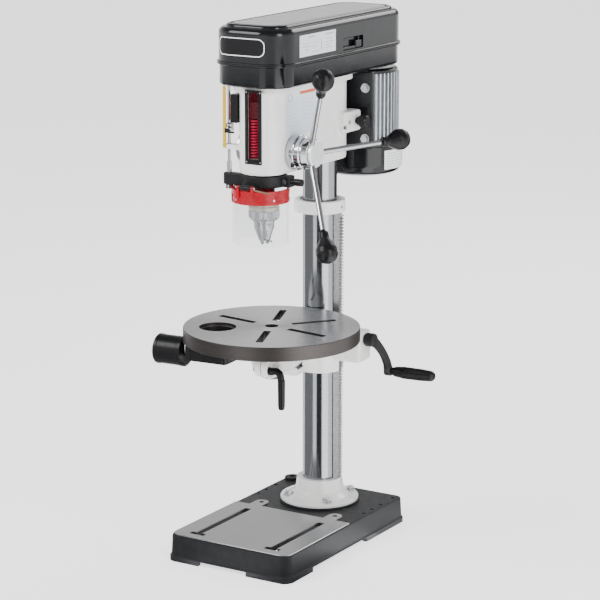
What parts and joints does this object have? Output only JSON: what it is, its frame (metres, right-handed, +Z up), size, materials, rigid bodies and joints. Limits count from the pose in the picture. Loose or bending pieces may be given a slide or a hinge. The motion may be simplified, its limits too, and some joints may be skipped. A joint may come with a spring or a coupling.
{
  "type": "drill press",
  "caption": "Bench drill press with a stepped-pulley belt head, rack-raised tilting round table, chuck guard, three-arm feed handle and an oscillating sanding spindle.",
  "frame": {"origin": "centre of the bounding box in plan, on the bench the base stands on", "axes": "+Z up the column, -Y towards the operator, +X towards the feed handles"},
  "size_m": [0.3884, 0.5652, 0.949],
  "materials": {
    "white_paint": "gloss",
    "black_paint": "gloss",
    "base_paint": "satin",
    "polished_steel": "polished",
    "dark_steel": "satin",
    "ground_iron": "ground",
    "zinc_plate": "plated",
    "chrome_plate": "polished",
    "chuck_steel": "satin",
    "yellow_zinc": "plated",
    "black_plastic": "gloss",
    "red_plastic": "gloss",
    "clear_plastic": "clear",
    "motor_alloy": "cast",
    "belt_rubber": "matt"
  },
  "bodies": {
    "stand": {"base_casting": "base_paint", "column_flange": "white_paint", "flange_bolt_1": "zinc_plate", "flange_bolt_2": "zinc_plate", "flange_bolt_3": "zinc_plate", "flange_bolt_4": "zinc_plate", "column_tube": "polished_steel", "rack_collar": "white_paint", "head_casting": "white_paint", "window_frame": "base_paint", "switch_box": "black_plastic", "spring_housing": "zinc_plate", "case_tray": "black_paint", "front_belt": "belt_rubber", "rear_belt": "belt_rubber", "oscillator_spring": "red_plastic"},
    "lid": {"case_lid": "black_paint"},
    "motor_mount": {"motor_plate": "black_paint", "motor_housing": "motor_alloy", "motor_end_bell": "black_paint"},
    "rotor": {"motor_rotor": "dark_steel", "motor_pulley": "motor_alloy"},
    "idler": {"idler_pulley": "motor_alloy"},
    "spindle_drive": {"spindle_pulley": "motor_alloy"},
    "feed": {"feed_shaft": "dark_steel", "feed_hub": "chrome_plate", "feed_arm_1": "chrome_plate", "feed_arm_2": "chrome_plate", "feed_arm_3": "chrome_plate", "feed_knob_1": "black_plastic", "feed_knob_2": "black_plastic", "feed_knob_3": "black_plastic"},
    "quill": {"quill_tube": "polished_steel", "quill_bracket": "black_plastic", "depth_rod": "yellow_zinc"},
    "depth_stop": {"depth_collar": "zinc_plate"},
    "spindle_stroke": {"bearing_sleeve": "dark_steel"},
    "spindle": {"spindle": "polished_steel", "chuck_body": "chuck_steel"},
    "chuck_key_sleeve": {"chuck_sleeve": "chuck_steel"},
    "jaw_1": {"chuck_jaw_1": "chuck_steel"},
    "jaw_2": {"chuck_jaw_2": "chuck_steel"},
    "jaw_3": {"chuck_jaw_3": "chuck_steel"},
    "chuck_guard": {"guard_ring": "red_plastic", "guard_shield": "clear_plastic"},
    "oscillator": {"oscillator_block": "red_plastic"},
    "switch": {"switch_paddle": "red_plastic"},
    "tension": {"tension_knob": "black_plastic"},
    "rack": {"lift_rack": "polished_steel"},
    "arm": {"table_arm": "white_paint"},
    "lift_gear": {"lift_gear": "dark_steel"},
    "crank": {"crank_worm": "dark_steel", "crank_arm": "black_plastic"},
    "crank_grip": {"crank_grip": "black_plastic"},
    "column_lock": {"column_lock_lever": "black_plastic"},
    "tilt": {"tilt_bracket": "white_paint"},
    "table": {"table_disc": "ground_iron", "dust_chute": "black_plastic", "dust_port": "black_plastic"},
    "table_lock": {"table_lock_lever": "black_plastic"}
  },
  "joints": [
    {"name": "lid_open", "type": "hinge", "parent": "stand", "child": "lid", "pos_m": [-0.08857, 0.0296, 0.8861], "axis": [0, -1, 0], "range_deg": [0, 100]},
    {"name": "motor_slide", "type": "slide", "parent": "stand", "child": "motor_mount", "axis": [0, 1, 0], "range_m": [-0.01, 0]},
    {"name": "motor_spin", "type": "hinge", "parent": "motor_mount", "child": "rotor", "pos_m": [-0.01187, 0.2066, 0.8], "axis": [0, 0, 1], "continuous": true},
    {"name": "idler_spin", "type": "hinge", "parent": "stand", "child": "idler", "pos_m": [-0.01187, 0.0476, 0.888], "axis": [0, 0, 1], "continuous": true},
    {"name": "drive_spin", "type": "hinge", "parent": "stand", "child": "spindle_drive", "pos_m": [-0.01187, -0.128, 0.888], "axis": [0, 0, 1], "continuous": true},
    {"name": "feed_turn", "type": "hinge", "parent": "stand", "child": "feed", "pos_m": [0.06213, -0.097, 0.725], "axis": [1, 0, 0], "range_deg": [0, 339.7]},
    {"name": "quill_travel", "type": "slide", "parent": "stand", "child": "quill", "axis": [0, 0, 1], "range_m": [-0.083, 0]},
    {"name": "depth_stop_travel", "type": "slide", "parent": "quill", "child": "depth_stop", "axis": [0, 0, 1], "range_m": [0, 0.0655]},
    {"name": "oscillate", "type": "slide", "parent": "stand", "child": "oscillator", "axis": [0, 0, 1], "range_m": [-0.016, 0], "deforming": ["oscillator_spring"]},
    {"name": "spindle_stroke_travel", "type": "slide", "parent": "quill", "child": "spindle_stroke", "axis": [0, 0, 1], "range_m": [-0.016, 0]},
    {"name": "spindle_spin", "type": "hinge", "parent": "spindle_stroke", "child": "spindle", "pos_m": [-0.01187, -0.128, 0.7], "axis": [0, 0, 1], "continuous": true},
    {"name": "chuck_turn", "type": "hinge", "parent": "spindle", "child": "chuck_key_sleeve", "pos_m": [-0.01187, -0.128, 0.62], "axis": [0, 0, 1], "range_deg": [0, 362]},
    {"name": "guard_swing", "type": "hinge", "parent": "quill", "child": "chuck_guard", "pos_m": [-0.01187, -0.188, 0.672], "axis": [-1, 0, 0], "range_deg": [0, 100]},
    {"name": "switch_rock", "type": "hinge", "parent": "stand", "child": "switch", "pos_m": [-0.05587, -0.1465, 0.802], "axis": [0, 1, 0], "range_deg": [0, 7]},
    {"name": "tension_turn", "type": "hinge", "parent": "stand", "child": "tension", "pos_m": [0.05813, 0.0896, 0.756], "axis": [1, 0, 0], "range_deg": [0, 360]},
    {"name": "rack_swing", "type": "hinge", "parent": "stand", "child": "rack", "pos_m": [-0.01187, 0.0596, 0.343], "axis": [0, 0, 1], "range_deg": [-90, 90]},
    {"name": "arm_lift", "type": "slide", "parent": "rack", "child": "arm", "axis": [0, 0, 1], "range_m": [-0.168, 0.13]},
    {"name": "lift_gear_turn", "type": "hinge", "parent": "arm", "child": "lift_gear", "pos_m": [0.04376, 0.06384, 0.3419], "axis": [-0.076, 0.9971, 0], "continuous": true},
    {"name": "crank_turn", "type": "hinge", "parent": "arm", "child": "crank", "pos_m": [0.09183, 0.06751, 0.3634], "axis": [0.9971, 0.076, 0], "continuous": true},
    {"name": "crank_grip_spin", "type": "hinge", "parent": "crank", "child": "crank_grip", "pos_m": [0.14427, 0.11631, 0.29704], "axis": [0.9971, 0.076, 0], "continuous": true},
    {"name": "column_lock_turn", "type": "hinge", "parent": "arm", "child": "column_lock", "pos_m": [-0.05671, 0.10834, 0.336], "axis": [0.9971, 0.076, 0], "range_deg": [-30, 45]},
    {"name": "tilt_turn", "type": "hinge", "parent": "arm", "child": "tilt", "pos_m": [0.00014, -0.09794, 0.358], "axis": [-0.076, 0.9971, 0], "range_deg": [-45, 45]},
    {"name": "table_turn", "type": "hinge", "parent": "tilt", "child": "table", "pos_m": [0.00239, -0.12745, 0.406], "axis": [0, 0, 1], "range_deg": [-60, 150]},
    {"name": "table_lock_turn", "type": "hinge", "parent": "tilt", "child": "table_lock", "pos_m": [0.02499, -0.16083, 0.347], "axis": [0.9971, 0.076, 0], "range_deg": [-60, 40]},
    {"name": "jaw_1_travel", "type": "slide", "parent": "spindle", "child": "jaw_1", "axis": [0, -0.2756, 0.9613], "range_m": [0, 0.01]},
    {"name": "jaw_2_travel", "type": "slide", "parent": "spindle", "child": "jaw_2", "axis": [0.2387, 0.1378, 0.9613], "range_m": [0, 0.0101]},
    {"name": "jaw_3_travel", "type": "slide", "parent": "spindle", "child": "jaw_3", "axis": [-0.2387, 0.1378, 0.9613], "range_m": [0, 0.0101]}
  ],
  "couplings": [
    {"joint": "idler_spin", "follows": "motor_spin", "ratio": 0.79412},
    {"joint": "drive_spin", "follows": "motor_spin", "ratio": 1.0423},
    {"joint": "spindle_spin", "follows": "motor_spin", "ratio": 1.0423},
    {"joint": "feed_turn", "follows": "quill_travel", "rad_per_m": -71.429},
    {"joint": "depth_stop_travel", "follows": "quill_travel", "ratio": -0.77693},
    {"joint": "oscillate", "follows": "spindle_stroke_travel", "ratio": 1},
    {"joint": "lift_gear_turn", "follows": "arm_lift", "rad_per_m": -79.365},
    {"joint": "crank_turn", "follows": "arm_lift", "rad_per_m": 1111.1},
    {"joint": "jaw_2_travel", "follows": "jaw_1_travel", "ratio": 1},
    {"joint": "jaw_3_travel", "follows": "jaw_1_travel", "ratio": 1},
    {"joint": "chuck_turn", "follows": "jaw_1_travel", "rad_per_m": 628.32}
  ]
}
